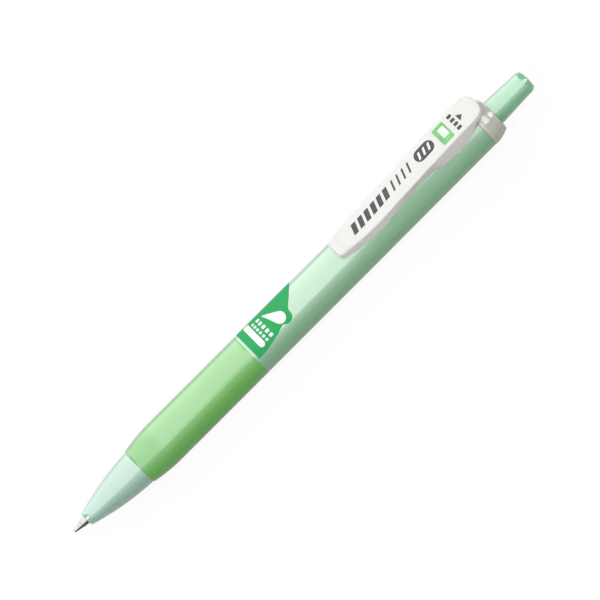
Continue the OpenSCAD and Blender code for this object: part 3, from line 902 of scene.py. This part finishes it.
def print_on_clip(name, outline, ink, layer=0):
    """Print one outline of (along, across) points on the clip's top."""
    mark = flat(name, outline + outline[:1])
    strips(mark, STRIP_ALONG, "X")
    seal()
    for corner in mark.data.vertices:
        where = (corner.co.x - BALL_X) / MM - CLIP_FRONT
        corner.co.z = AXIS_Z + (clip_top(where) + 0.012 + layer * 0.02) * MM
    thicken(mark, INK_T)
    shade(mark, 40)
    dress(mark, ink, "clip", "clip_plastic")


def slanted(along, across, width, height, slant):
    """The outline of a slanted bar."""
    w, h = width / 2, height / 2
    return [(along - w - slant, across - h), (along + w - slant, across - h),
            (along + w + slant, across + h), (along - w + slant, across + h)]


# %% [markdown]
# ## The clip's print, from front to tail
# Repeated marks come from loops: each step moves one bar on by the same pitch and a little
# across, so the row has a slight slant.

# %% Print the clip
for number in range(6):
    print_on_clip(f"heavy_bar_{number}",
                  slanted(91.3 + number * 2.05, 0.05 + number * 0.06, 1.3, 2.6, 0.45), grey_ink)
for number in range(4):
    print_on_clip(f"light_bar_{number}",
                  slanted(103.9 + number * 1.75, 0.42 + number * 0.05, 0.5, 2.5, 0.45), grey_ink)
print_on_clip("capsule", oblong(114.1, 0.55, 5.6, 3.1, 1.54, 8), grey_ink)
for number in range(3):
    print_on_clip(f"capsule_bar_{number}",
                  slanted(112.6 + number * 1.5, 0.55, 0.6, 1.7, 0.35), white_ink, layer=1)
print_on_clip("green_square", oblong(119.8, 0.05, 3.3, 4.9, 0.35, 4), green_ink)
print_on_clip("green_square_window", oblong(120.1, 0.3, 1.7, 2.6, 0.2, 4), white_ink, layer=1)
for number in range(4):
    print_on_clip(f"short_bar_{number}",
                  oblong(123.3, -1.9 + number * 1.27, 1.2, 0.8, 0.15, 3), grey_ink)
print_on_clip("arrow", [(124.5, -0.98), (125.75, 0.0), (124.5, 0.98)], grey_ink)

# %% [markdown]
# ## Finishes for the parts inside
# The refill, the slider, the latch and the pin keep their solids, because their shape is right
# and they show only when the pen is taken apart. Each still gets the finish of its own
# material, named for what it is.

# %% Dress the inner parts
natural_pom = finish("natural_acetal", ("#e6e5df", "#ecebe6"), (0.38, 0.5), drift_mm=4,
                     grain_mm=0.4, relief_mm=0.001, ior=1.48)
tube_pp = finish("extruded_clear_polypropylene", ("#dfe9e4", "#e8f0ec"), (0.16, 0.26), drift_mm=5,
                 grain_mm=0.6, relief_mm=0.001, ior=1.49, transmission_weight=0.55)
ground_steel = finish("ground_steel_pin", ("#b3b5b8", "#c2c4c7"), (0.18, 0.28), drift_mm=0.8,
                      grain_mm=0.12, relief_mm=0.001, stretch=(1, 0.1, 1), metallic=1.0)
carbide = finish("ground_tungsten_carbide", ("#8a8c90", "#96989c"), (0.10, 0.18), drift_mm=0.2,
                 grain_mm=0.05, relief_mm=0.0003, metallic=1.0)
black_ink = finish("black_gel_ink", ("#0c0c0e", "#141417"), (0.06, 0.12), drift_mm=3,
                   grain_mm=1.0, relief_mm=0.001, ior=1.38)
amber_grease = finish("follower_grease_gel", ("#e2d9a8", "#e9e1b6"), (0.12, 0.2), drift_mm=2,
                      grain_mm=0.6, relief_mm=0.002, ior=1.46, transmission_weight=0.5)
inner_finishes = {
    "slider": natural_pom, "tip_holder": natural_pom, "tail_plug": natural_pom,
    "refill_tube": tube_pp, "pivot_pin": ground_steel, "latch_leaf": spring_wire,
    "ball": carbide, "ink": black_ink, "follower_grease": amber_grease}
for node, material in inner_finishes.items():
    solid = frame["nodes"][node]
    for slot in solid.material_slots:
        slot.material = material
    print(node, "->", material.name)

# %% [markdown]
# ## The floor
# The pen lies on a white paper sweep. Seen directly the paper glows, so it stays white, and its
# small matt share carries a faint shadow. Light that the pen scatters meets a light warm grey, so
# the pen isn't lit too strongly from below. To mirror rays the paper is painted dark grey on the
# near side of the pen, a painted shade with no card there, and glows white beyond it, which gives
# the glossy underside a dark and clean lower edge.

# %% Make the floor
PAPER_SEEN = "#f8f8f8"
PAPER_LIT = "#c6c2b8"
# Painted shade: the dark grey that mirror rays see on the near side of the pen, where no card stands.
PAINTED_SHADE_GREY = "#303030"
PAPER_GLOW = 0.92
# Across the pen, in metres: the painted shade in mirrors gives way to the glowing paper between these
# two edges.
PAINTED_SHADE_EDGE = -0.012
PAPER_EDGE = 0.006
bpy.ops.object.select_all(action="DESELECT")
bpy.ops.mesh.primitive_plane_add(size=3.0, location=(0, 0, 0))
floor = bpy.context.object
floor.name = "studio_floor"
paper = bpy.data.materials.new("white_paper_sweep")
paper.use_nodes = True
paper.node_tree.nodes.clear()
rays = add(paper, "ShaderNodeLightPath").outputs
across_y = add(paper, "ShaderNodeSeparateXYZ",
               {"Vector": add(paper, "ShaderNodeTexCoord").outputs["Object"]}).outputs["Y"]
# 0 on the near side, where mirror rays get the painted shade, and 1 beyond, where they see the glowing
# paper.
beyond = add(paper, "ShaderNodeMapRange", {
    "Value": across_y, "From Min": PAINTED_SHADE_EDGE, "From Max": PAPER_EDGE,
    "To Min": 0.0}).outputs["Result"]
mirrored = add(paper, "ShaderNodeMath", {0: rays["Is Glossy Ray"], 1: beyond},
               operation="MULTIPLY").outputs[0]
seen = rays["Is Camera Ray"]
for other in (mirrored, rays["Is Transmission Ray"]):
    seen = add(paper, "ShaderNodeMath", {0: seen, 1: other}, operation="MAXIMUM").outputs[0]
share = add(paper, "ShaderNodeMath", {0: seen, 1: PAPER_GLOW}, operation="MULTIPLY").outputs[0]
# Mirror rays keep the painted shade, scattered rays get the warm grey, and camera rays get the white.
tone = linear(PAINTED_SHADE_GREY)
for ray, colour in (("Is Diffuse Ray", PAPER_LIT), ("Is Camera Ray", PAPER_SEEN)):
    tone = add(paper, "ShaderNodeMix", {"Factor": rays[ray], "A": tone, "B": linear(colour)},
               data_type="RGBA").outputs[2]
matt = add(paper, "ShaderNodeBsdfDiffuse", {"Color": tone})
glow = add(paper, "ShaderNodeEmission", {"Color": (1, 1, 1, 1), "Strength": 1.0})
blend = add(paper, "ShaderNodeMixShader", {
    "Fac": share, 1: matt.outputs["BSDF"], 2: glow.outputs["Emission"]})
add(paper, "ShaderNodeOutputMaterial", {"Surface": blend.outputs["Shader"]})
floor.data.materials.append(paper)
print("floor:", paper.name)

# %% [markdown]
# ## Painting light on the sky
# Every lamp is painted on the sky round the pen, so its light depends on a direction only. The
# turn is the angle round the pen's axis: zero is straight up, and the camera's side is negative.
# The other measure is how far the direction points along the pen, from -1 at the tip's end to 1
# at the button's.

# %% Directions and helpers
world = bpy.data.worlds.new("studio")
bpy.context.scene.world = world
world.use_nodes = True
world.node_tree.nodes.clear()
way = add(world, "ShaderNodeSeparateXYZ",
          {"Vector": add(world, "ShaderNodeTexCoord").outputs["Generated"]})
turn = add(world, "ShaderNodeMath", {0: way.outputs["Y"], 1: way.outputs["Z"]},
           operation="ARCTAN2").outputs[0]
along_x = way.outputs["X"]


def step(value, low, high):
    """A soft step from 0 at low to 1 at high."""
    return add(world, "ShaderNodeMapRange", {"Value": value, "From Min": low, "From Max": high},
               interpolation_type="SMOOTHSTEP").outputs["Result"]


def arc(angle, low, high):
    """A soft step between two angles in degrees."""
    return step(angle, math.radians(low), math.radians(high))


def product(first, *others):
    """Multiply node outputs or numbers."""
    for other in others:
        first = add(world, "ShaderNodeMath", {0: first, 1: other}, operation="MULTIPLY").outputs[0]
    return first


def mix(blend, low, high):
    """Go from one number or output to another as a blend goes from 0 to 1."""
    return add(world, "ShaderNodeMix", {"Factor": blend, "A": low, "B": high}).outputs["Result"]


# %% [markdown]
# ## The softbox
# A long softbox arches from the near side over the pen to the far horizon. On a round glossy
# barrel it draws one broad bright band, whose lower edge is the softbox's near edge. It is dimmer
# towards the tip's end, a little brighter on the far side, and stops some ten degrees behind the
# middle. Below the near edge a weak glow fades out. Where the barrel beside the clip's arm would
# mirror it, a notch about a degree wide moves the edge up and takes the glow away.

# %% Paint the softbox
SOFTBOX = 1.8
BOX_END = 1.3
FAR_GAIN = 0.15
NEAR_GLOW = 0.32
NOTCH_TURN = 16
under_clip = product(step(along_x, 0.014, 0.020), step(along_x, 0.036, 0.0345))
edge_turn = mix(under_clip, 0.0, math.radians(NOTCH_TURN))
near_turn = add(world, "ShaderNodeMath", {0: turn, 1: edge_turn}, operation="SUBTRACT").outputs[0]
near_edge = arc(near_turn, -51, -44)
box_end = product(step(along_x, -0.64, -0.54), BOX_END)
power = product(mix(step(along_x, -0.10, -0.06), box_end, SOFTBOX), step(along_x, 0.22, 0.17))
far_side = mix(arc(turn, 0, 70), 1.0, 1.0 + FAR_GAIN)
near_side = product(arc(near_turn, -88, -50), mix(under_clip, NEAR_GLOW, 0.0))
softbox = product(power, mix(near_edge, near_side, far_side))
print("softbox:", SOFTBOX, "dimmer end:", BOX_END, "glow below it:", NEAR_GLOW)

# %% [markdown]
# ## The side lights and the rear lamp
# Two strong side lights stand beyond the pen's ends, on the near side. The round barrel doesn't
# mirror them to the camera, so they light the colours of the plastic without adding gloss. A
# small soft lamp towards the button's end puts the highlight on the crown.

# %% Paint the side lights and the rear lamp
SIDE_LIGHTS = 3.4
REAR_LAMP = 2.5
end_on = add(world, "ShaderNodeMath", {0: along_x}, operation="ABSOLUTE").outputs[0]
side_lights = product(arc(turn, -48, -36), arc(turn, 0, -12), step(end_on, 0.6, 0.7),
                      SIDE_LIGHTS)
rear_light = product(step(along_x, 0.24, 0.28), step(along_x, 0.56, 0.52),
                     arc(turn, -46, -43), arc(turn, 4, -6), REAR_LAMP)

# %% [markdown]
# ## Joining the lamps
# The lamps are added to a dim, even surround, so that nothing is quite black. The camera sees
# plain white in their place. The Standard view transform shows colours as they are written.

# %% Light the world
SURROUND = 0.1
lit = SURROUND
for lamp in (softbox, side_lights, rear_light):
    lit = add(world, "ShaderNodeMath", {0: lamp, 1: lit}, operation="ADD").outputs[0]
light = add(world, "ShaderNodeBackground", {"Color": (1, 1, 1, 1), "Strength": lit})
backdrop = add(world, "ShaderNodeBackground", {"Color": (1, 1, 1, 1), "Strength": 1.0})
seen = add(world, "ShaderNodeLightPath").outputs["Is Camera Ray"]
shown = add(world, "ShaderNodeMixShader", {
    "Fac": seen, 1: light.outputs["Background"], 2: backdrop.outputs["Background"]})
add(world, "ShaderNodeOutputWorld", {"Surface": shown.outputs["Shader"]})
bpy.context.scene.view_settings.view_transform = "Standard"
print("world:", world.name, "with side lights", SIDE_LIGHTS, "and rear lamp", REAR_LAMP)

# %% [markdown]
# ## The camera
# The pen is seen from well above and a little from the side of the clip's cheek, with the camera
# rolled so that the pen runs from the lower left to the upper right. A long lens far away keeps
# the two ends nearly the same size.

# %% Set the camera
DISTANCE = 1.5
TILT = math.radians(30)
ROLL = math.radians(-45.0)
aim = place(71.6, 0.48, 0.82)
bpy.ops.object.camera_add(location=aim + Vector((0, -math.sin(TILT), math.cos(TILT))) * DISTANCE)
camera = bpy.context.object
camera.name = "camera"
camera.rotation_euler = (Matrix.Rotation(TILT, 3, "X") @ Matrix.Rotation(ROLL, 3, "Z")).to_euler()
camera.data.sensor_width = 36
camera.data.lens = 406.5
camera.data.clip_start = 0.01
camera.data.clip_end = 10
bpy.context.scene.camera = camera
print("camera", [round(v, 4) for v in camera.location])
